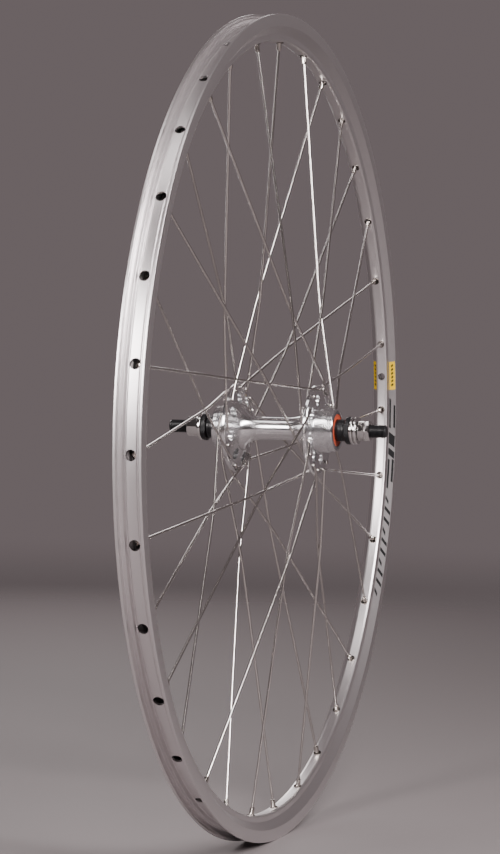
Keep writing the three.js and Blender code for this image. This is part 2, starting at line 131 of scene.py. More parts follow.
floor_paint, nodes, links, shader = new_material("studio_floor")
shader.inputs["Base Color"].default_value = FLOOR_COLOUR
shader.inputs["Roughness"].default_value = 0.7
shader.inputs["Specular IOR Level"].default_value = 0.2
coordinates = nodes.new("ShaderNodeTexCoord")
flat = nodes.new("ShaderNodeVectorMath")
flat.operation = "MULTIPLY"
flat.inputs[1].default_value = (1, 1, 0)
reach = nodes.new("ShaderNodeVectorMath")
reach.operation = "LENGTH"
fade = nodes.new("ShaderNodeMapRange")
fade.interpolation_type = "SMOOTHSTEP"
fade.inputs["From Min"].default_value = FADE_FROM
fade.inputs["From Max"].default_value = FADE_TO
fade.inputs["To Min"].default_value = 1
fade.inputs["To Max"].default_value = 0
links.new(coordinates.outputs["Object"], flat.inputs[0])
links.new(flat.outputs["Vector"], reach.inputs[0])
links.new(reach.outputs["Value"], fade.inputs["Value"])
links.new(fade.outputs["Result"], shader.inputs["Alpha"])
floor_mesh.materials.append(floor_paint)

world = bpy.data.worlds.new("studio")
bpy.context.scene.world = world
world.use_nodes = True
sky = world.node_tree
directions = sky.nodes.new("ShaderNodeTexCoord")
parts = sky.nodes.new("ShaderNodeSeparateXYZ")
lean_to = sky.nodes.new("ShaderNodeMapRange")
lean_to.interpolation_type = "SMOOTHSTEP"
lean_to.inputs["From Min"].default_value = -0.5
lean_to.inputs["From Max"].default_value = 0.55
tones = sky.nodes.new("ShaderNodeMix")
tones.data_type = "RGBA"
tones.inputs["A"].default_value = UNLIT_SIDE
tones.inputs["B"].default_value = BACKDROP
sky.links.new(directions.outputs["Generated"], parts.inputs["Vector"])
sky.links.new(parts.outputs["X"], lean_to.inputs["Value"])
sky.links.new(lean_to.outputs["Result"], tones.inputs["Factor"])
sky.links.new(tones.outputs["Result"], sky.nodes["Background"].inputs["Color"])

LIGHT_COLOUR = (1.0, 0.95, 0.945)
SOFT_LIGHTS = (
    # name, place, width, height, power, roll about its own aim in degrees;
    # front and rear are as the camera sees the wheel
    ("key", (-1.10, -1.22, 1.02), 0.5, 1.6, 88, 42),
    ("front", (-1.65, 0.62, 0.55), 0.45, 0.6, 21, 0),
    ("fill", (-0.9, 1.75, 0.45), 0.5, 0.8, 4, 0),
    ("top", (-0.7, 0.5, 2.0), 0.9, 0.5, 5, 0),
    ("rear", (1.9, 1.0, 0.7), 0.6, 1.0, 10, 0),
)
for name, place, width, height, power, roll in SOFT_LIGHTS:
    lamp = bpy.data.lights.new(name, "AREA")
    lamp.shape = "RECTANGLE"
    lamp.size = width
    lamp.size_y = height
    lamp.energy = power
    lamp.color = LIGHT_COLOUR
    holder = put(name, lamp)
    aim = (Vector((0, 0, 0)) - Vector(place)).to_track_quat("-Z", "Y").to_matrix().to_4x4()
    holder.matrix_world = (
        Matrix.Translation(place) @ aim @ Matrix.Rotation(math.radians(roll), 4, "Z")
    )

# ---- Rim ----
# An aluminium extrusion rolled into a hoop and anodised satin silver: two hooked walls, a well
# between them, flat brake tracks, 45 degree shoulders and a narrow nose. Each spoke hole goes
# through both beds, wider in the outer one for a nipple driver, and one hole is for the valve.
MM = 0.001
rim_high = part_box("rim")[1]
RIM_R = rim_high.z / MM
RIM_HALF = rim_high.y / MM
RIM_SEGMENTS = 384
SPOKES = 32
PITCH = 360 / SPOKES
VALVE_ANGLE = 8.5
STAGGER = 0.35
BED_R = RIM_R - 20.1
NOSE_HALF = 4.95
TRACK_FOOT = RIM_R - 9.3
NOSE_TOP = TRACK_FOOT - 5.6
LEDGE_R = RIM_R - 6
WELL_R = LEDGE_R - 2
WELL_HALF = 5.5
HOOK = 1.5
ACCESS_R, SPOKE_SEAT_R, VALVE_R = 3.9, 2.6, 3.25


def rounded(points, steps=4):
    """An outline from (x, y, corner radius) points, with each corner turned into an arc."""
    outline = []
    count = len(points)
    for i, (x, y, radius) in enumerate(points):
        corner = Vector((x, y))
        before = Vector(points[i - 1][:2]) - corner
        after = Vector(points[(i + 1) % count][:2]) - corner
        if radius <= 0 or before.length < 1e-6 or after.length < 1e-6:
            outline.append(corner)
            continue
        half = before.angle(after) / 2
        if half > math.radians(88):
            outline.append(corner)
            continue
        along = min(radius / math.tan(half), 0.49 * before.length, 0.49 * after.length)
        start = corner + before.normalized() * along
        end = corner + after.normalized() * along
        for k in range(steps + 1):
            t = k / steps
            outline.append(start * (1 - t) ** 2 + corner * 2 * t * (1 - t) + end * t * t)
    return [(p.x, p.y) for p in outline]


def lathe(name, outline, segments, closed=True):
    """A mesh turned about the wheel's axis from (radius, y) points in millimetres."""
    points = np.array(outline) * MM
    angles = np.arange(segments) * 2 * math.pi / segments
    ring = np.stack([
        np.outer(points[:, 0], np.cos(angles)),
        np.repeat(points[:, 1:2], segments, 1),
        np.outer(points[:, 0], np.sin(angles)),
    ], -1)
    count = len(points)
    rows = count if closed else count - 1
    i, j = np.meshgrid(np.arange(rows), np.arange(segments), indexing="ij")
    below, beside = (i + 1) % count, (j + 1) % segments
    faces = np.stack([
        i * segments + j, below * segments + j, below * segments + beside, i * segments + beside,
    ], -1).reshape(-1, 4)
    mesh = bpy.data.meshes.new(name)
    mesh.from_pydata(ring.reshape(-1, 3).tolist(), [], faces.tolist())
    shape = bmesh.new()
    shape.from_mesh(mesh)
    bmesh.ops.remove_doubles(shape, verts=shape.verts, dist=1e-7)
    bmesh.ops.dissolve_degenerate(shape, dist=1e-8, edges=shape.edges)
    bmesh.ops.recalc_face_normals(shape, faces=shape.faces)
    shape.to_mesh(mesh)
    shape.free()
    mesh.update()
    return mesh


def drill(name, where, radii, sides):
    """One tool of many drills: a (start, end) place and a (near, far) radius for each."""
    tools = bmesh.new()
    for (start, end), (near, far) in zip(where, radii):
        start, end = Vector(start) * MM, Vector(end) * MM
        along = end - start
        turn = Vector((0, 0, 1)).rotation_difference(along).to_matrix().to_4x4()
        place = Matrix.Translation((start + end) / 2) @ turn
        bmesh.ops.create_cone(
            tools, cap_ends=True, segments=sides, radius1=near * MM, radius2=far * MM,
            depth=along.length, matrix=place,
        )
    return put(name, mesh_of(tools, name))


def cut_away(piece, *tools):
    """The piece less the tools, as a plain mesh; the tools are then thrown away."""
    for tool in tools:
        modifier = piece.modifiers.new("cut", "BOOLEAN")
        modifier.operation = "DIFFERENCE"
        modifier.solver = "EXACT"
        modifier.object = tool
    bpy.context.view_layer.update()
    result = piece.evaluated_get(bpy.context.evaluated_depsgraph_get())
    mesh = bpy.data.meshes.new_from_object(result)
    piece.modifiers.clear()
    old = piece.data
    piece.data = mesh
    bpy.data.meshes.remove(old)
    for tool in tools:
        bpy.data.meshes.remove(tool.data)


def crisp(piece, degrees=32):
    """Smooth shading, with edges sharper than the angle kept hard."""
    piece.data.shade_smooth()
    piece.data.set_sharp_from_angle(angle=math.radians(degrees))


def show(name, mesh, body, slot, *replaced):
    """A finished piece on its body, standing for the CAD nodes it replaces."""
    piece = put(name, mesh)
    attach(piece, body)
    if replaced:
        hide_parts(*replaced)
    return piece


def at(radius, degrees, y):
    angle = math.radians(degrees)
    return (radius * math.cos(angle), y, radius * math.sin(angle))


def grained(name, colour, low, high, scale=400, bump=0.03, stretch=(1, 1, 1), detail=3,
            metallic=1.0, specular=0.5):
    """A finish whose fine grain varies its roughness, from low to high, and its surface."""
    material, nodes, links, shader = new_material(name)
    shader.inputs["Base Color"].default_value = (*colour, 1)
    shader.inputs["Metallic"].default_value = metallic
    shader.inputs["Specular IOR Level"].default_value = specular
    coordinates = nodes.new("ShaderNodeTexCoord")
    mapping = nodes.new("ShaderNodeMapping")
    mapping.inputs["Scale"].default_value = stretch
    grain = nodes.new("ShaderNodeTexNoise")
    grain.inputs["Scale"].default_value = scale
    grain.inputs["Detail"].default_value = detail
    rough = nodes.new("ShaderNodeMapRange")
    rough.inputs["To Min"].default_value = low
    rough.inputs["To Max"].default_value = high
    links.new(coordinates.outputs["Object"], mapping.inputs["Vector"])
    links.new(mapping.outputs["Vector"], grain.inputs["Vector"])
    links.new(grain.outputs["Fac"], rough.inputs["Value"])
    links.new(rough.outputs["Result"], shader.inputs["Roughness"])
    if bump:
        relief = nodes.new("ShaderNodeBump")
        relief.inputs["Strength"].default_value = bump
        relief.inputs["Distance"].default_value = 0.0001
        links.new(grain.outputs["Fac"], relief.inputs["Height"])
        links.new(relief.outputs["Normal"], shader.inputs["Normal"])
    return material


def coat(piece, material):
    """One material over the whole piece."""
    piece.data.materials.clear()
    piece.data.materials.append(material)


def rim_hole(hole):
    """A spoke hole's angle round the rim, and the side of the wheel that its spoke goes to."""
    return VALVE_ANGLE + (hole + 0.5) * PITCH, -1 if hole % 2 == 0 else 1


def both_sides(half):
    """The outline's other half is the same one mirrored across the wheel's middle plane."""
    return half + [(r, -y, c) for r, y, c in reversed(half)]


rim_outside = rounded(both_sides([
    (WELL_R, 0.1, 0),
    (WELL_R, 3.4, 0.4),
    (WELL_R - 0.45, 4.15, 0.35),
    (WELL_R - 0.45, 4.75, 0.3),
    (WELL_R + 0.2, 5.15, 0.3),
    (LEDGE_R, WELL_HALF + 0.35, 0.4),
    (LEDGE_R - 0.1, RIM_HALF - HOOK - 0.05, 0.45),
    (LEDGE_R + 2.6, RIM_HALF - HOOK + 0.1, 0.6),
    (RIM_R - 1.9, RIM_HALF - HOOK - 0.75, 0.5),
    (RIM_R - 0.02, RIM_HALF - HOOK - 0.55, 0.35),
    (RIM_R, RIM_HALF - 0.8, 0.3),
    (RIM_R, RIM_HALF - 0.02, 0.7),
    (TRACK_FOOT, RIM_HALF, 0.5),
    (NOSE_TOP, NOSE_HALF + 0.15, 1.6),
    (BED_R + 0.6, NOSE_HALF - 0.05, 1.5),
    (BED_R, 2.9, 0.9),
    (BED_R, 0.1, 0),
]), 4)
rim_hollow = rounded(both_sides([
    (BED_R + 1.8, 0.1, 0),
    (BED_R + 1.8, NOSE_HALF - 1.4, 0.6),
    (NOSE_TOP - 0.2, NOSE_HALF - 1.3, 1.0),
    (WELL_R - 1.8, 8.0, 0.6),
    (WELL_R - 1.8, 0.1, 0),
]), 3)
rim = put("rim_hoop", lathe("rim_hoop", rim_outside, RIM_SEGMENTS))
cavity = put("cavity", lathe("cavity", rim_hollow, RIM_SEGMENTS))

outer_holes, inner_holes = [], []
for hole in range(SPOKES):
    angle, sign = rim_hole(hole)
    y = sign * STAGGER
    outer_holes.append((at(WELL_R - 4, angle, y), at(RIM_R + 3, angle, y)))
    inner_holes.append((at(BED_R - 3, angle, y), at(BED_R + 5, angle, y)))
valve = [(at(BED_R - 3, VALVE_ANGLE, 0), at(RIM_R + 3, VALVE_ANGLE, 0))]
cut_away(
    rim,
    cavity,
    drill("access", outer_holes, [(ACCESS_R, ACCESS_R)] * SPOKES, 28),
    drill("seats", inner_holes, [(SPOKE_SEAT_R, SPOKE_SEAT_R)] * SPOKES, 24),
    drill("valve", valve, [(VALVE_R, VALVE_R)], 28),
)
crisp(rim, 28)
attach(rim, "wheel")
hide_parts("rim")

rim_metal = grained("anodised_silver", (0.74, 0.71, 0.715), 0.3, 0.42, 900, 0.08)
coat(rim, rim_metal)

# ---- Rim eyelets ----
# Small plated steel ferrules pressed into the spoke holes of the nose, each rolled over into a bead
# that spreads the nipple's pull on the thin aluminium. Their dark brown-grey colour is painted
# shade: it stands for the shadow inside each spoke hole round its nipple.
EYELET_BORE = 2.45
EYELET_OUT = 3.1
EYELET_BEAD = 0.75
EYELET_SLEEVE = 1.5


def node_inputs(tree, *wanted):
    """Named inputs on a node tree, from (name, kind, default) entries."""
    for name, kind, default in wanted:
        socket = tree.interface.new_socket(name, in_out="INPUT", socket_type="NodeSocket" + kind)
        if default is not None:
            socket.default_value = default
    tree.interface.new_socket("Made", in_out="OUTPUT", socket_type="NodeSocketGeometry")
    return tree.nodes.new("NodeGroupInput"), tree.nodes.new("NodeGroupOutput")


def finish_tree(tree, made, given, out):
    """The end of every tree: real geometry, with its finish set."""
    real = tree.nodes.new("GeometryNodeRealizeInstances")
    coat = tree.nodes.new("GeometryNodeSetMaterial")
    tree.links.new(made, real.inputs["Geometry"])
    tree.links.new(real.outputs["Geometry"], coat.inputs["Geometry"])
    tree.links.new(given.outputs["Finish"], coat.inputs["Material"])
    tree.links.new(coat.outputs["Geometry"], out.inputs["Made"])


def grow(tree, start, name, **values):
    """The plain mesh that a tree makes from an object, with its named inputs set."""
    modifier = start.modifiers.new(tree.name, "NODES")
    modifier.node_group = tree
    identifiers = {item.name: item.identifier for item in tree.interface.items_tree}
    for key, value in values.items():
        modifier[identifiers[key.replace("_", " ")]] = value
    bpy.context.view_layer.update()
    made = start.evaluated_get(bpy.context.evaluated_depsgraph_get())
    mesh = bpy.data.meshes.new_from_object(made)
    mesh.name = name
    start.modifiers.clear()
    for extra in ("aim", "across"):
        if extra in mesh.attributes:
            mesh.attributes.remove(mesh.attributes[extra])
    return mesh


# One piece is put on every point, its Z axis along the point's aim and its X axis across it.
stamp = bpy.data.node_groups.new("stamp_on_points", "GeometryNodeTree")
given, out = node_inputs(
    stamp, ("Points", "Geometry", None), ("Piece", "Object", None), ("Finish", "Material", None),
)
rotation = None
for attribute, axis, pivot in (("aim", "Z", "AUTO"), ("across", "X", "Z")):
    reading = stamp.nodes.new("GeometryNodeInputNamedAttribute")
    reading.data_type = "FLOAT_VECTOR"
    reading.inputs["Name"].default_value = attribute
    align = stamp.nodes.new("FunctionNodeAlignRotationToVector")
    align.axis = axis
    align.pivot_axis = pivot
    stamp.links.new(reading.outputs["Attribute"], align.inputs["Vector"])
    if rotation:
        stamp.links.new(rotation, align.inputs["Rotation"])
    rotation = align.outputs["Rotation"]
piece_in = stamp.nodes.new("GeometryNodeObjectInfo")
piece_in.transform_space = "ORIGINAL"
each = stamp.nodes.new("GeometryNodeInstanceOnPoints")
stamp.links.new(given.outputs["Piece"], piece_in.inputs["Object"])
stamp.links.new(given.outputs["Points"], each.inputs["Points"])
stamp.links.new(piece_in.outputs["Geometry"], each.inputs["Instance"])
stamp.links.new(rotation, each.inputs["Rotation"])
finish_tree(stamp, each.outputs["Instances"], given, out)


def points_with_aim(name, places):
    """A mesh of loose points from (place, aim, across) entries, in millimetres."""
    mesh = bpy.data.meshes.new(name)
    mesh.from_pydata([Vector(place) * MM for place, _, _ in places], [], [])
    for k, attribute in ((1, "aim"), (2, "across")):
        values = mesh.attributes.new(attribute, "FLOAT_VECTOR", "POINT")
        values.data.foreach_set("vector", [c for entry in places for c in entry[k]])
    return put(name, mesh)


def stamped(name, places, pattern, finish):
    """Copies of the pattern on all the places, as one plain mesh; the pattern is thrown away."""
    start = points_with_aim(name + "_points", places)
    mesh = grow(stamp, start, name, Piece=pattern, Finish=finish)
    bpy.data.meshes.remove(start.data)
    bpy.data.meshes.remove(pattern.data)
    return mesh


def spun(name, outline, sides):
    """A closed outline of (radius, height) turned about Z, in millimetres, as a pattern."""
    mesh = lathe(name, outline, sides)
    mesh.transform(Matrix.Rotation(math.radians(90), 4, "X"))
    mesh.shade_smooth()
    mesh.set_sharp_from_angle(angle=math.radians(35))
    return put(name, mesh)


# Painted shade: this dark colour stands for the shadow in the spoke holes round the nipples, not
# for the colour of plated steel.
eyelet_painted_shade_steel = grained("eyelet_with_painted_shade", (0.26, 0.235, 0.22), 0.14, 0.26)
eyelet = spun("eyelet", rounded([
    (EYELET_BORE, -EYELET_BEAD, 0.3),
    (EYELET_OUT, -EYELET_BEAD, 0.35),
    (EYELET_OUT, 0, 0.1),
    (EYELET_BORE + 0.1, 0.02, 0),
    (EYELET_BORE + 0.1, EYELET_SLEEVE, 0),
    (EYELET_BORE, EYELET_SLEEVE, 0),
], 3), 28)
seats = []
for hole in range(SPOKES):
    angle, sign = rim_hole(hole)
    seats.append((at(BED_R, angle, sign * STAGGER), at(1, angle, 0), (0, 1, 0)))
eyelets = stamped("rim_eyelets", seats, eyelet, eyelet_painted_shade_steel)
show("rim_eyelets", eyelets, "wheel", "chrome")

# ---- Rim labels and stripes ----
# Thin printed film on the 45 degree shoulders: a plain yellow tag on each side of the valve
# hole, and black stripes and slanted bars along the drive side below it. They carry no words.
FILM = 0.07
FILM_LIFT = 0.03
TAG_LENGTH = 25.0
SHOULDER_MIDDLE = (TRACK_FOOT + NOSE_TOP) / 2


def film(name, sign, patches, lift=FILM_LIFT):
    """Film on a rim shoulder from (corner, corner, corner, corner) patches, each corner being
    millimetres round the rim from the valve hole and a share of the shoulder from the nose."""
    slope = Vector((TRACK_FOOT - NOSE_TOP, RIM_HALF - NOSE_HALF - 0.15))
    outward = Vector((-slope.y, slope.x)).normalized()
    verts, faces = [], []
    for a, b, c, d in patches:
        nu = max(1, round(max(abs(b[0] - a[0]), abs(c[0] - d[0])) / 1.5))
        nv = 3
        base = len(verts)
        for layer in (lift, lift + FILM):
            for i in range(nu + 1):
                for j in range(nv + 1):
                    s, t = i / nu, j / nv
                    u = (a[0] * (1 - s) + b[0] * s) * (1 - t) + (d[0] * (1 - s) + c[0] * s) * t
                    v = (a[1] * (1 - s) + b[1] * s) * (1 - t) + (d[1] * (1 - s) + c[1] * s) * t
                    r = NOSE_TOP + slope.x * v + outward.x * layer
                    y = NOSE_HALF + 0.15 + slope.y * v + outward.y * layer
                    verts.append(at(r, VALVE_ANGLE + math.degrees(u / SHOULDER_MIDDLE), sign * y))
        count = (nu + 1) * (nv + 1)

        def index(i, j, layer):
            return base + layer * count + i * (nv + 1) + j

        for i in range(nu):
            for j in range(nv):
                for layer in (0, 1):
                    faces.append((
                        index(i, j, layer), index(i + 1, j, layer),
                        index(i + 1, j + 1, layer), index(i, j + 1, layer),
                    ))
        for i in range(nu):
            for j in (0, nv):
                faces.append((index(i, j, 0), index(i + 1, j, 0), index(i + 1, j, 1),
                              index(i, j, 1)))
        for j in range(nv):
            for i in (0, nu):
                faces.append((index(i, j, 0), index(i, j + 1, 0), index(i, j + 1, 1),
                              index(i, j, 1)))
    mesh = bpy.data.meshes.new(name)
    mesh.from_pydata([Vector(v) * MM for v in verts], [], faces)
    shape = bmesh.new()
    shape.from_mesh(mesh)
    bmesh.ops.recalc_face_normals(shape, faces=shape.faces)
    shape.to_mesh(mesh)
    shape.free()
    return mesh


def bar_patch(start, end, low, high, lean=0.0):
    """A straight patch, leaning forward by so many millimetres over its height."""
    return ((start, low), (end, low), (end + lean, high), (start + lean, high))


def printed(name, colour, roughness):
    """Printed film: one dull ink with a faint mottle."""
    return grained(name, colour, roughness, roughness + 0.12, 350, bump=0, detail=2, metallic=0.0,
                   specular=0.25)


yellow_ink = printed("yellow_ink", (0.66, 0.42, 0.004), 0.5)
black_ink = printed("black_ink", (0.006, 0.006, 0.007), 0.45)
for sign, side in ((-1, "drive"), (1, "non_drive")):
    tag = film("rim_tag_" + side, sign, [
        bar_patch(-TAG_LENGTH / 2, TAG_LENGTH / 2, 0.1, 0.88),
    ])
    tag.materials.append(yellow_ink)
    show("rim_tag_" + side, tag, "wheel", "rim")
for sign, side in ((-1, "drive"), (1, "non_drive")):
    bars = film("rim_tag_bars_" + side, sign, [
        bar_patch(-9.5 + 3.4 * k, -7.6 + 3.4 * k, 0.34, 0.62, 1.0) for k in range(6)
    ], FILM_LIFT + FILM)
    bars.materials.append(black_ink)
    show("rim_tag_bars_" + side, bars, "wheel", "rim")
stripes = [
    bar_patch(-46, -20, 0.1, 0.3, -1.0), bar_patch(-46, -26, 0.66, 0.9, -1.0),
    bar_patch(-60, -50, 0.1, 0.9, -4.0), bar_patch(-70, -64, 0.1, 0.9, -4.0),
    bar_patch(-100, -74, 0.1, 0.34, -1.0), bar_patch(-94, -74, 0.62, 0.9, -1.0),
]
for k in range(10):
    start = -110 - 9.5 * k
    stripes.append(bar_patch(start, start + 3.2, 0.1, 0.9 if k % 3 else 0.55, -5.0))
stripe_film = film("rim_stripes_drive", -1, stripes)
stripe_film.materials.append(black_ink)
show("rim_stripes_drive", stripe_film, "wheel", "rim")

# ---- Spokes ----
# Thirty-two drawn stainless wires of plain 2 mm gauge, laced three-cross. Each is bent at its
# headed end to hook through the flange, and where it meets its partner for the last time it is
# sprung to the other side of it.
HOLE_CIRCLE_R = 31.5
FLANGE_MIDDLE = 32.5
FLANGE_HALF = 1.75
FLANGE_R = 34.5
WIRE_R = 1.0
TOUCH = 0.3
ELBOW_R = WIRE_R + TOUCH
LACING_TURN = 67.5
SEAT_R = BED_R + 1.8 + 0.85
NIPPLE_BODY = 9.0


def lerp(a, b, t):
    return a + (b - a) * t


def spoke_line(hole):
    """A spoke's centreline from its head to inside its nipple, and its nipple's direction."""
    rim_angle, sign = rim_hole(hole)
    leading = hole % 4 < 2
    leaves = -1 if leading else 1
    hub_angle = rim_angle + (LACING_TURN if leading else -LACING_TURN)
    seat = Vector(at(SEAT_R, rim_angle, sign * STAGGER))
    elbow = Vector(at(
        HOLE_CIRCLE_R, hub_angle, sign * (FLANGE_MIDDLE + leaves * (FLANGE_HALF + ELBOW_R)),
    ))
    rim_reach = SEAT_R * math.sin(math.radians(PITCH))
    hub_reach = HOLE_CIRCLE_R * math.sin(math.radians(LACING_TURN - PITCH))
    share = rim_reach / (rim_reach + hub_reach)
    crossing = seat.lerp(Vector(at(HOLE_CIRCLE_R, hub_angle, 0)), share)
    crossing.y = sign * (lerp(STAGGER, FLANGE_MIDDLE, share) - leaves * ELBOW_R)
    flat = Vector((seat.x - elbow.x, 0, seat.z - elbow.z)).normalized()
    inward = flat.dot(Vector(at(1, hub_angle, 0))) * HOLE_CIRCLE_R
    reach = FLANGE_R + WIRE_R
    clear = -inward + math.sqrt(inward ** 2 + reach ** 2 - HOLE_CIRCLE_R ** 2)
    over_edge = elbow + flat * clear
    through = Vector((0, sign * leaves, 0))
    head = elbow - through * (ELBOW_R + 2 * FLANGE_HALF + TOUCH + 0.5)
    line = [head]
    centre = elbow - through * ELBOW_R + flat * ELBOW_R
    for k in range(9):
        bend = math.radians(90 * k / 8)
        line.append(centre - flat * ELBOW_R * math.cos(bend) + through * ELBOW_R * math.sin(bend))
    shaft = (seat - crossing).normalized()
    tip = seat - shaft * (NIPPLE_BODY - 2)
    for corner, before, after, soft in (
        (over_edge, elbow, crossing, 3.0), (crossing, over_edge, tip, 14.0),
    ):
        start = corner + (before - corner).normalized() * soft
        end = corner + (after - corner).normalized() * soft
        for k in range(7):
            t = k / 6
            line.append(start * (1 - t) ** 2 + corner * 2 * t * (1 - t) + end * t * t)
    line.append(tip)
    return line, through, flat, seat, shaft


wires = bpy.data.node_groups.new("drawn_wire", "GeometryNodeTree")
given, out = node_inputs(
    wires, ("Centrelines", "Geometry", None), ("Wire Radius", "Float", WIRE_R * MM),
    ("Sides", "Int", 12), ("Finish", "Material", None),
)
section = wires.nodes.new("GeometryNodeCurvePrimitiveCircle")
sweep = wires.nodes.new("GeometryNodeCurveToMesh")
sweep.inputs["Fill Caps"].default_value = True
smooth = wires.nodes.new("GeometryNodeSetShadeSmooth")
wires.links.new(given.outputs["Sides"], section.inputs["Resolution"])
wires.links.new(given.outputs["Wire Radius"], section.inputs["Radius"])
wires.links.new(given.outputs["Centrelines"], sweep.inputs["Curve"])
wires.links.new(section.outputs["Curve"], sweep.inputs["Profile Curve"])
wires.links.new(sweep.outputs["Mesh"], smooth.inputs["Geometry"])
finish_tree(wires, smooth.outputs["Geometry"], given, out)

spoke_steel = grained("drawn_stainless", (0.60, 0.57, 0.55), 0.13, 0.21, 1200, 0.02)
spoke_lines = [spoke_line(hole) for hole in range(SPOKES)]
for first, side in ((0, "drive"), (1, "non_drive")):
    curve = bpy.data.curves.new("centrelines_" + side, "CURVE")
    curve.dimensions = "3D"
    for line, *_ in spoke_lines[first::2]:
        spline = curve.splines.new("POLY")
        spline.points.add(len(line) - 1)
        for point, place in zip(spline.points, line):
            point.co = (*(place * MM), 1)
    holder = put("centrelines_" + side, curve)
    wire_mesh = grow(wires, holder, "spokes_" + side, Wire_Radius=WIRE_R * MM, Sides=12,
                     Finish=spoke_steel)
    bpy.data.curves.remove(curve)
    names = ["spoke_%s_%02d" % (side, k + 1) for k in range(SPOKES // 2)]
    show("spokes_" + side, wire_mesh, "wheel", "spoke", *names)

# ---- Spoke heads ----
# The button on the end of each spoke, cold-forged from its own wire and pulled up against the
# flange.
HEAD_R = 1.95
button = spun("button", rounded([
    (0.001, -0.05, 0), (HEAD_R - 0.35, -0.05, 0.2), (HEAD_R, 0.5, 0.3), (WIRE_R, 1.15, 0.2),
    (0.001, 1.15, 0),
], 3), 16)
heads = []
for line, through, flat, *_ in spoke_lines:
    heads.append((line[0] - through * 0.75, through, flat))
head_mesh = stamped("spoke_heads", heads, button, spoke_steel)
show("spoke_heads", head_mesh, "wheel", "spoke")

# ---- Nipples ----
# Turned nickel-plated brass: a slotted head that seats in the eyelet from inside the rim, a
# round neck, and four flats for the spoke key.
nipple_brass = grained("nickel_plate", (0.60, 0.56, 0.52), 0.1, 0.18, 900, 0.02)
NECK_R = 2.0
FLAT_HALF = 1.65


def nipple_pattern():
    """A nipple standing on its head, with its body up along Z, in metres."""
    sides = 24
    sections = [
        # height, round radius, squareness
        (-2.9, 1.2, 0), (-2.75, 2.0, 0), (-2.3, 2.6, 0), (-1.4, 2.85, 0), (-0.9, 2.7, 0),
        (0.0, NECK_R, 0), (3.3, NECK_R, 0), (3.8, NECK_R, 1), (8.0, NECK_R, 1),
        (8.6, 1.75, 0.6), (9.0, 1.3, 0), (9.0, WIRE_R, 0), (8.4, WIRE_R * 0.98, 0),
    ]
    shape = bmesh.new()
    rings = []
    for height, radius, square in sections:
        ring = []
        for k in range(sides):
            angle = 2 * math.pi * k / sides
            flat_radius = FLAT_HALF / max(abs(math.cos(angle)), abs(math.sin(angle)))
            r = lerp(radius, min(radius, flat_radius), square)
            place = Vector((r * math.cos(angle), r * math.sin(angle), height)) * MM
            ring.append(shape.verts.new(place))
        rings.append(ring)
    for low, high in zip(rings, rings[1:]):
        for k in range(sides):
            beside = (k + 1) % sides
            shape.faces.new((low[k], low[beside], high[beside], high[k]))
    shape.faces.new(list(reversed(rings[0])))
    shape.faces.new(rings[-1])
    bmesh.ops.recalc_face_normals(shape, faces=shape.faces)
    pattern = put("nipple", mesh_of(shape, "nipple"))
    slot = bmesh.new()
    slot_size = Matrix.Diagonal((8 * MM, 1.0 * MM, 1.2 * MM, 1))
    bmesh.ops.create_cube(slot, size=1, matrix=Matrix.Translation((0, 0, -2.9 * MM)) @ slot_size)
    cut_away(pattern, put("slot", mesh_of(slot, "slot")))
    crisp(pattern, 30)
    return pattern


nipple_places = [(seat, -shaft, flat.cross(shaft)) for _, _, flat, seat, shaft in spoke_lines]
nipple_mesh = stamped("nipples", nipple_places, nipple_pattern(), nipple_brass)
show("nipples", nipple_mesh, "wheel", "spoke")

# ---- Hub shell ----
# Forged and turned aluminium, polished bright: a waisted barrel, two high flanges drilled with
# sixteen spoke holes each and eight larger ones to save weight, and a stepped boss at each end
# with a thread for the sprocket and a smaller one for its lockring.
FLANGE_IN = FLANGE_MIDDLE - FLANGE_HALF
FLANGE_OUT = FLANGE_MIDDLE + FLANGE_HALF
HUB_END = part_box("hub_shell")[1].y / MM
BARREL_R = 8.75
FLARE_R, FLARE_LENGTH, TAPER = 18.0, 18.0, 3.0
LAND_R = 29.1
SHOULDER_R, SHOULDER_FACE = 18.2, FLANGE_OUT + 0.8
COG_R, LOCKRING_R = 17.4, 16.4
LOCKRING_FROM = HUB_END - 5
BEARING_SEAT_R, BEARING_SEAT_FROM = 14.6, 40.5
BORE_R = 7.45
THREAD_PITCH = 25.4 / 24
HUB_SEGMENTS = 160
WEIGHT_HOLES = 8
LIGHTENING_R, LIGHTENING_HOLE_R = 23.6, 4.25
SPOKE_BORE_R, SPOKE_SINK_R = 1.3, 2.15
ROWS_PER_PITCH = 7

# A helical thread is cut by moving the surface inwards by a wave that runs round and along it.
threading = bpy.data.node_groups.new("cut_thread", "GeometryNodeTree")
given, out = node_inputs(
    threading, ("Blank", "Geometry", None), ("Pitch", "Float", 0.001), ("Depth", "Float", 0.0005),
    ("From", "Float", 0.0), ("To", "Float", 1.0), ("Over Radius", "Float", 0.0),
    ("Hand", "Float", 1.0), ("Finish", "Material", None),
)


def reckon(operation, *values):
    """A math node on the given values or sockets; it gives back its result socket."""
    node = threading.nodes.new("ShaderNodeMath")
    node.operation = operation
    for socket, value in zip(node.inputs, values):
        if isinstance(value, (int, float)):
            socket.default_value = value
        else:
            threading.links.new(value, socket)
    return node.outputs["Value"]


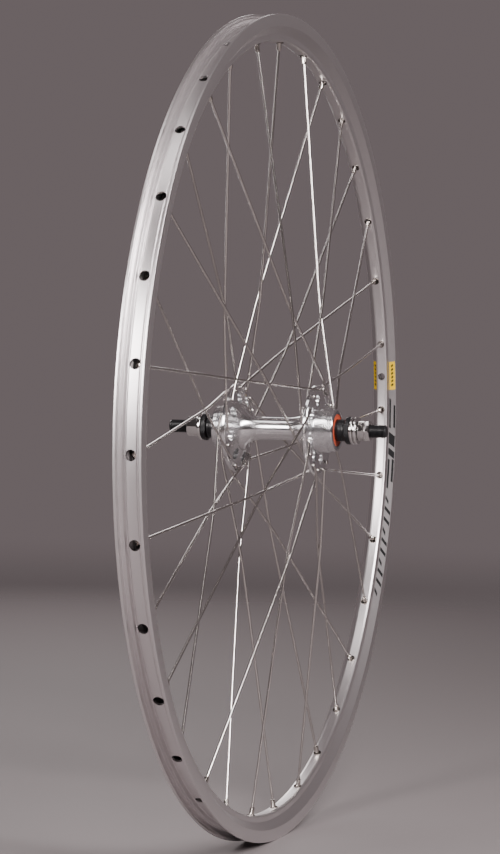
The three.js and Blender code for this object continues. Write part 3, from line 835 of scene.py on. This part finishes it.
place_node = threading.nodes.new("GeometryNodeInputPosition")
split = threading.nodes.new("ShaderNodeSeparateXYZ")
threading.links.new(place_node.outputs["Position"], split.inputs["Vector"])
px, py, pz = (split.outputs[axis] for axis in "XYZ")
radius = reckon("SQRT", reckon(
    "ADD", reckon("MULTIPLY", px, px), reckon("MULTIPLY", pz, pz),
))
turns = reckon("DIVIDE", reckon("ARCTAN2", pz, px), 2 * math.pi)
along = reckon("DIVIDE", py, given.outputs["Pitch"])
phase = reckon("ADD", along, reckon("MULTIPLY", turns, given.outputs["Hand"]))
wave = reckon("COSINE", reckon("MULTIPLY", phase, 2 * math.pi))
groove = reckon("MULTIPLY", reckon("SUBTRACT", 1.0, wave), 0.5)
station = reckon("ABSOLUTE", py)
past_start = reckon("GREATER_THAN", station, given.outputs["From"])
before_end = reckon("LESS_THAN", station, given.outputs["To"])
inside = reckon("MULTIPLY", past_start, before_end)
chosen = reckon("MULTIPLY", inside,
                reckon("GREATER_THAN", radius, given.outputs["Over Radius"]))
depth = reckon("MULTIPLY", groove, given.outputs["Depth"])
cut = reckon("MULTIPLY", depth, chosen)
share = reckon("DIVIDE", cut, reckon("MAXIMUM", radius, 1e-6))
shift = threading.nodes.new("ShaderNodeCombineXYZ")
threading.links.new(reckon("MULTIPLY", reckon("MULTIPLY", px, share), -1.0),
                    shift.inputs["X"])
threading.links.new(reckon("MULTIPLY", reckon("MULTIPLY", pz, share), -1.0),
                    shift.inputs["Z"])
move = threading.nodes.new("GeometryNodeSetPosition")
threading.links.new(given.outputs["Blank"], move.inputs["Geometry"])
threading.links.new(shift.outputs["Vector"], move.inputs["Offset"])
finish_tree(threading, move.outputs["Geometry"], given, out)


def thread_rows(start, end, radius, pitch):
    """Points along a cylinder, close enough together to take a thread."""
    count = max(1, round((end - start) / pitch * ROWS_PER_PITCH))
    return [(radius, lerp(start, end, k / count)) for k in range(count + 1)]


flare_end = FLANGE_IN - TAPER
flare = []
for k in range(15):
    turn = math.radians(90 * k / 14)
    flare.append((
        BARREL_R + (FLARE_R - BARREL_R) * (1 - math.cos(turn)),
        flare_end - FLARE_LENGTH * (1 - math.sin(turn)),
    ))
flare[-1:] = [(FLARE_R - 0.05, flare_end - 0.25), (FLARE_R + 0.45, flare_end + 0.05)]
flange = rounded([
    (LAND_R, FLANGE_IN - 0.05, 0.8),
    (FLANGE_R, FLANGE_IN, 0.9),
    (FLANGE_R, FLANGE_OUT, 0.9),
    (SHOULDER_R + 2.2, FLANGE_OUT, 0.3),
    (SHOULDER_R + 0.3, FLANGE_OUT + 0.25, 0.9),
    (SHOULDER_R, SHOULDER_FACE, 0.25),
    (COG_R - 0.35, SHOULDER_FACE, 0.1),
    (COG_R - 0.35, SHOULDER_FACE + 0.5, 0.1),
], 4)
boss = thread_rows(SHOULDER_FACE + 0.6, LOCKRING_FROM - 0.3, COG_R, THREAD_PITCH)
boss += [(COG_R - 0.3, LOCKRING_FROM), (LOCKRING_R - 0.3, LOCKRING_FROM),
         (LOCKRING_R - 0.3, LOCKRING_FROM + 0.4)]
boss += thread_rows(LOCKRING_FROM + 0.5, HUB_END - 0.5, LOCKRING_R, THREAD_PITCH)
boss += [
    (LOCKRING_R - 0.35, HUB_END), (BEARING_SEAT_R + 0.3, HUB_END),
    (BEARING_SEAT_R, HUB_END - 0.3), (BEARING_SEAT_R, BEARING_SEAT_FROM),
    (BORE_R, BEARING_SEAT_FROM),
]
half_hub = [(BARREL_R, 0.0)] + flare + flange + boss + [(BORE_R, 0.0)]
mirrored_hub = [(r, -y) for r, y in reversed(half_hub[1:-1])]
hub_outline = half_hub + mirrored_hub
hub = put("hub_body", lathe("hub_body", hub_outline, HUB_SEGMENTS))
hub_silver = grained("polished_aluminium", (0.84, 0.84, 0.85), 0.15, 0.24, 700, 0.015,
                   (1, 0.15, 1))
hub_shader = hub_silver.node_tree.nodes["Principled BSDF"]
hub_shader.inputs["Anisotropic"].default_value = 0.75
hub_shader.inputs["Anisotropic Rotation"].default_value = 0.25
turning = hub_silver.node_tree.nodes.new("ShaderNodeTangent")
turning.direction_type = "RADIAL"
turning.axis = "Y"
hub_silver.node_tree.links.new(turning.outputs["Tangent"], hub_shader.inputs["Tangent"])
spoke_bores, spoke_sinks, weight_holes, weight_sinks = [], [], [], []
for hole in range(SPOKES):
    angle, sign = rim_hole(hole)
    angle += LACING_TURN if hole % 4 < 2 else -LACING_TURN
    ends = [at(HOLE_CIRCLE_R, angle, sign * y) for y in (FLANGE_IN - 1, FLANGE_OUT + 1)]
    spoke_bores.append(ends)
    for face, out_by in ((FLANGE_IN, -0.5), (FLANGE_OUT, 0.5)):
        spoke_sinks.append((
            at(HOLE_CIRCLE_R, angle, sign * (face + out_by)),
            at(HOLE_CIRCLE_R, angle, sign * (face - out_by)),
        ))
for sign in (-1, 1):
    for k in range(WEIGHT_HOLES):
        angle = VALVE_ANGLE + PITCH / 2 + 360 / WEIGHT_HOLES * k
        weight_holes.append([at(LIGHTENING_R, angle, sign * y) for y in (24, FLANGE_OUT + 1)])
        weight_sinks.append((
            at(LIGHTENING_R, angle, sign * (FLANGE_OUT + 0.55)),
            at(LIGHTENING_R, angle, sign * (FLANGE_OUT - 0.55)),
        ))
cut_away(
    hub,
    drill("spoke_bores", spoke_bores, [(SPOKE_BORE_R, SPOKE_BORE_R)] * SPOKES, 20),
    drill("spoke_sinks", spoke_sinks, [(SPOKE_SINK_R, 1.1)] * (2 * SPOKES), 20),
    drill("weight_holes", weight_holes,
          [(LIGHTENING_HOLE_R, LIGHTENING_HOLE_R)] * (2 * WEIGHT_HOLES), 40),
    drill("weight_sinks", weight_sinks,
          [(LIGHTENING_HOLE_R + 1.1, LIGHTENING_HOLE_R)] * (2 * WEIGHT_HOLES), 40),
)
for start, end, over, hand in (
    (SHOULDER_FACE + 0.6, LOCKRING_FROM - 0.3, COG_R - 0.1, 1.0),
    (LOCKRING_FROM + 0.5, HUB_END - 0.5, LOCKRING_R - 0.1, -1.0),
):
    old = hub.data
    hub.data = grow(threading, hub, "hub_body", Pitch=THREAD_PITCH * MM, Depth=0.55 * MM,
                    From=(start - 0.01) * MM, To=(end + 0.01) * MM, Over_Radius=over * MM,
                    Hand=hand, Finish=hub_silver)
    bpy.data.meshes.remove(old)
crisp(hub, 26)
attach(hub, "wheel")
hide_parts("hub_shell")

# ---- Axle ----
# A solid chrome-molybdenum bar with a black oxide skin, threaded M10 by 1 outside its bearings
# and turned a little thicker between them.
AXLE_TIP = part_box("axle")[1].y / MM
AXLE_R = 5.0
AXLE_PITCH = 1.0
WAIST_R, JOURNAL_R, AXLE_SHOULDER_R = 5.5, 6.0, 7.0
AXLE_SHOULDER_FROM, JOURNAL_FROM, AXLE_THREAD_FROM = 34.8, 40.5, 49.5
black_oxide = grained("black_oxide", (0.008, 0.008, 0.009), 0.26, 0.4, 500, 0.05, metallic=0.0,
                      specular=0.4)
half_axle = [
    (WAIST_R, 0.0), (WAIST_R, AXLE_SHOULDER_FROM - 0.5),
    (AXLE_SHOULDER_R - 0.3, AXLE_SHOULDER_FROM - 0.3), (AXLE_SHOULDER_R, AXLE_SHOULDER_FROM),
    (AXLE_SHOULDER_R, JOURNAL_FROM - 0.1), (JOURNAL_R, JOURNAL_FROM),
    (JOURNAL_R, AXLE_THREAD_FROM - 0.9), (JOURNAL_R - 0.2, AXLE_THREAD_FROM - 0.7),
    (AXLE_R - 0.3, AXLE_THREAD_FROM - 0.7), (AXLE_R - 0.3, AXLE_THREAD_FROM - 0.1),
]
half_axle += thread_rows(AXLE_THREAD_FROM, AXLE_TIP - 1.4, AXLE_R, AXLE_PITCH)
half_axle += rounded([
    (AXLE_R - 0.15, AXLE_TIP - 1.3, 0), (AXLE_R - 1.2, AXLE_TIP, 0.5), (0.001, AXLE_TIP, 0),
    (0.001, AXLE_TIP - 1, 0),
], 4)[:-1]
axle_outline = [(r, -y) for r, y in reversed(half_axle[1:])] + half_axle
axle = put("axle_bar", lathe("axle_bar", axle_outline, 64, closed=False))
old = axle.data
axle.data = grow(threading, axle, "axle_bar", Pitch=AXLE_PITCH * MM, Depth=0.5 * MM,
                 From=(AXLE_THREAD_FROM + 0.1) * MM, To=(AXLE_TIP - 1.4) * MM,
                 Over_Radius=(AXLE_R - 0.05) * MM, Hand=1.0, Finish=black_oxide)
bpy.data.meshes.remove(old)
crisp(axle, 40)
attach(axle, "axle_assembly")
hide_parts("axle")


def turned_part(name, outline, sides, sign, body, slot, finish, node, degrees=35):
    """A turned part on one side of the wheel, from points whose y runs outwards."""
    mesh = lathe(name, [(r, sign * y) for r, y in outline], sides)
    mesh.shade_smooth()
    mesh.set_sharp_from_angle(angle=math.radians(degrees))
    mesh.materials.append(finish)
    return show(name, mesh, body, slot, node)


# ---- Bearings ----
# A sealed cartridge bearing is pressed into each end of the hub: ground steel rings with a row
# of balls in a pressed cage between them, and a red-orange rubber seal on each face.
bearing_steel = grained("ground_steel", (0.52, 0.53, 0.55), 0.12, 0.24, 900, 0.02)
seal_rubber = grained("seal_rubber", (0.40, 0.06, 0.025), 0.45, 0.65, 1500, 0.15, detail=2,
                      metallic=0.0)

BALLS = 8
BALL_R = 2.1
TRACK_R = 10.3
balls_tree = bpy.data.node_groups.new("ball_row", "GeometryNodeTree")
given, out = node_inputs(
    balls_tree, ("Cage", "Geometry", None), ("Count", "Int", BALLS),
    ("Track Radius", "Float", TRACK_R * MM), ("Ball Radius", "Float", BALL_R * MM),
    ("Station", "Float", 0.0), ("Finish", "Material", None),
)
circle = balls_tree.nodes.new("GeometryNodeMeshCircle")
upright = balls_tree.nodes.new("GeometryNodeTransform")
upright.inputs["Rotation"].default_value = (math.radians(90), 0, 0)
place_at = balls_tree.nodes.new("ShaderNodeCombineXYZ")
ball = balls_tree.nodes.new("GeometryNodeMeshUVSphere")
ball.inputs["Segments"].default_value = 24
ball.inputs["Rings"].default_value = 14
each = balls_tree.nodes.new("GeometryNodeInstanceOnPoints")
glossy = balls_tree.nodes.new("GeometryNodeSetShadeSmooth")
with_cage = balls_tree.nodes.new("GeometryNodeJoinGeometry")
balls_tree.links.new(given.outputs["Count"], circle.inputs["Vertices"])
balls_tree.links.new(given.outputs["Track Radius"], circle.inputs["Radius"])
balls_tree.links.new(given.outputs["Ball Radius"], ball.inputs["Radius"])
balls_tree.links.new(given.outputs["Station"], place_at.inputs["Y"])
balls_tree.links.new(circle.outputs["Mesh"], upright.inputs["Geometry"])
balls_tree.links.new(place_at.outputs["Vector"], upright.inputs["Translation"])
balls_tree.links.new(upright.outputs["Geometry"], each.inputs["Points"])
balls_tree.links.new(ball.outputs["Mesh"], glossy.inputs["Geometry"])
balls_tree.links.new(glossy.outputs["Geometry"], each.inputs["Instance"])
balls_tree.links.new(each.outputs["Instances"], with_cage.inputs["Geometry"])
balls_tree.links.new(given.outputs["Cage"], with_cage.inputs["Geometry"])
finish_tree(balls_tree, with_cage.outputs["Geometry"], given, out)

for sign, side in ((-1, "drive"), (1, "non_drive")):
    near, far = BEARING_SEAT_FROM + 0.3, HUB_END
    middle = (near + far) / 2
    for name, wall, lip, groove, body in (
        ("inner_race_", 6.3, 7.9, 7.75, "axle_assembly"),
        ("outer_race_", 14.3, 12.7, 12.85, "wheel"),
    ):
        bevel = 0.35 if wall > lip else -0.35
        outline = [
            (wall, near + 0.35), (wall - bevel, near), (lip, near), (lip, middle - 1.6),
            (groove, middle - 0.8), (groove, middle + 0.8), (lip, middle + 1.6), (lip, far),
            (wall - bevel, far), (wall, far - 0.35),
        ]
        node = "bearing_" + name.replace("race", "ring") + side
        turned_part(name + side, outline, 96, sign, body, "bearing_steel", bearing_steel, node)
    for place, start in (("outer", far - 1.0), ("inner", near + 0.3)):
        end = start + 0.7
        dish = rounded([
            (8.35, start, 0.1), (12.35, start, 0.1), (12.35, end, 0.25), (11.4, end, 0.3),
            (11.1, end - 0.22, 0.3), (9.3, end - 0.22, 0.3), (9.0, end, 0.3), (8.35, end, 0.25),
        ], 3)
        if place == "inner":
            dish = [(r, start + end - y) for r, y in dish]
        name = "%s_seal_%s" % (place, side)
        turned_part("rubber_" + name, dish, 96, sign, "wheel", "seal", seal_rubber, name)
    cage = put("cage", lathe("cage", [
        (TRACK_R - 0.5, sign * (middle - 1.8)), (TRACK_R + 0.5, sign * (middle - 1.8)),
        (TRACK_R + 0.5, sign * (middle + 1.8)), (TRACK_R - 0.5, sign * (middle + 1.8)),
    ], 64))
    balls = grow(balls_tree, cage, "balls_" + side, Count=BALLS, Track_Radius=TRACK_R * MM,
                 Ball_Radius=BALL_R * MM, Station=sign * middle * MM, Finish=bearing_steel)
    bpy.data.meshes.remove(cage.data)
    show("balls_" + side, balls, "cage_" + side, "bearing_steel", "ball_cage_" + side)

# ---- Spacers ----
# Plain black steel sleeves between each bearing's inner ring and its locknut, with a fine line
# round each.
SLEEVE_R = 8.5
SLEEVE_BORE_R = 5.1


def span(node):
    """How far out a CAD node starts and ends, in millimetres from the wheel's middle."""
    low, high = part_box(node)
    return sorted((abs(low.y) / MM, abs(high.y) / MM))


for sign, side in ((-1, "drive"), (1, "non_drive")):
    near, far = span("spacer_" + side)
    r = SLEEVE_R
    sleeve = rounded([
        (SLEEVE_BORE_R, near, 0.2), (r, near, 0.3), (r, near + 4.45, 0.12),
        (r - 0.3, near + 4.55, 0), (r - 0.3, near + 4.7, 0), (r, near + 4.8, 0.12), (r, far, 0.3),
        (SLEEVE_BORE_R, far, 0.2),
    ], 3)
    turned_part("sleeve_" + side, sleeve, 72, sign, "axle_assembly", "black_steel", black_oxide,
                "spacer_" + side)

# ---- Locknuts ----
# Black steel nuts that set the bearings and face the frame's dropouts, with two flats for a
# thin cone spanner and radial teeth on the face that grips the dropout.
TEETH = 36
TOOTH_DEPTH = 0.28
LOCKNUT_R = 10.65
LOCKNUT_BORE_R = 5.1
LOCKNUT_FLAT = 9.5
for sign, side in ((-1, "drive"), (1, "non_drive")):
    near, far = span("locknut_" + side)
    r = LOCKNUT_R
    outline = rounded([
        (LOCKNUT_BORE_R, near, 0.3), (r - 0.9, near, 0.3), (r, near + 0.7, 0.4),
        (r, far - 0.7, 0.4), (r - 0.7, far, 0.2), (6.4, far, 0.1), (LOCKNUT_BORE_R, far - 0.5, 0.1),
    ], 3)
    blank = lathe("locknut", [(q, sign * y) for q, y in outline], TEETH * 4)
    for vertex in blank.vertices:
        y = abs(vertex.co.y) / MM
        q = math.hypot(vertex.co.x, vertex.co.z) / MM
        if y > far - 0.05 and q > 6.0:
            turn = math.atan2(vertex.co.z, vertex.co.x)
            vertex.co.y -= sign * TOOTH_DEPTH * MM * (0.5 - 0.5 * math.cos(TEETH * turn))
    locknut = put("cone_locknut_" + side, blank)
    flats = bmesh.new()
    for way in (-1, 1):
        bmesh.ops.create_cube(flats, size=1, matrix=Matrix.Translation(
            (way * (LOCKNUT_FLAT + 3) * MM, sign * (near + far) / 2 * MM, 0),
        ) @ Matrix.Diagonal((6 * MM, 6 * MM, 30 * MM, 1)))
    cut_away(locknut, put("flats", mesh_of(flats, "flats")))
    crisp(locknut, 30)
    coat(locknut, black_oxide)
    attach(locknut, "axle_assembly")
    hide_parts("locknut_" + side)

# ---- Washers ----
# Thick chromed steel rings that press the dropout against the locknut, two on the drive end and
# one on the other.
WASHER_R = 10.45
WASHER_BORE_R = 5.3
chrome = grained("chrome_plate", (0.74, 0.73, 0.72), 0.06, 0.13, 800, 0.01)
for side, sign, body, nodes_here in (
    ("drive", -1, "washers_drive", ("inner_washer_drive", "outer_washer_drive")),
    ("non_drive", 1, "washer_non_drive", ("washer_non_drive",)),
):
    for node in nodes_here:
        near, far = span(node)
        outline = rounded([
            (WASHER_BORE_R, near, 0.3), (WASHER_R, near, 0.7), (WASHER_R, far, 0.7),
            (WASHER_BORE_R, far, 0.3),
        ], 5)
        turned_part(node.replace("washer", "ring_washer"), outline, 96, sign, body, "chrome",
                    chrome, node)

# ---- Axle nuts ----
# Chromed 15 mm hexagon nuts, their corners turned off at both ends, with a small lead-in at the
# mouth of the thread.
NUT_FLATS = 15.0
NUT_BORE_R = 5.12
NUT_FACE_R = NUT_FLATS / 2 - 0.15
for sign, side in ((-1, "drive"), (1, "non_drive")):
    near, far = span("axle_nut_" + side)
    corner = NUT_FLATS / math.sqrt(3)
    hexagon = bmesh.new()
    bmesh.ops.create_cone(
        hexagon, cap_ends=True, segments=6, radius1=corner * MM, radius2=corner * MM,
        depth=(far - near) * MM,
        matrix=Matrix.Translation((0, sign * (near + far) / 2 * MM, 0))
        @ Matrix.Rotation(math.radians(90), 4, "X") @ Matrix.Rotation(math.radians(30), 4, "Z"),
    )
    nut = put("hex_nut_" + side, mesh_of(hexagon, "hexagon"))
    waste = lathe("waste", [(r, sign * y) for r, y in (
        (NUT_FACE_R, near - 1), (NUT_FACE_R, near - 0.01),
        (corner + 0.02, near + 0.95), (corner + 0.02, far - 0.95),
        (NUT_FACE_R, far + 0.01), (NUT_FACE_R, far + 1),
        (corner + 4, far + 1), (corner + 4, near - 1),
    )], 96)
    bore = lathe("bore", [(r, sign * y) for r, y in (
        (0.001, near - 1), (6.8, near - 1), (NUT_BORE_R, near + 0.7), (NUT_BORE_R, far - 0.6),
        (6.6, far + 1), (0.001, far + 1),
    )], 64)
    cut_away(nut, put("waste", waste), put("bore", bore))
    edge = nut.modifiers.new("edge", "BEVEL")
    edge.width = 0.25 * MM
    edge.segments = 3
    edge.limit_method = "ANGLE"
    edge.angle_limit = math.radians(40)
    bpy.context.view_layer.update()
    nut_mesh = bpy.data.meshes.new_from_object(
        nut.evaluated_get(bpy.context.evaluated_depsgraph_get())
    )
    nut.modifiers.clear()
    nut.data = nut_mesh
    crisp(nut, 25)
    coat(nut, chrome)
    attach(nut, "nut_" + side)
    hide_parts("axle_nut_" + side)

bpy.context.view_layer.update()
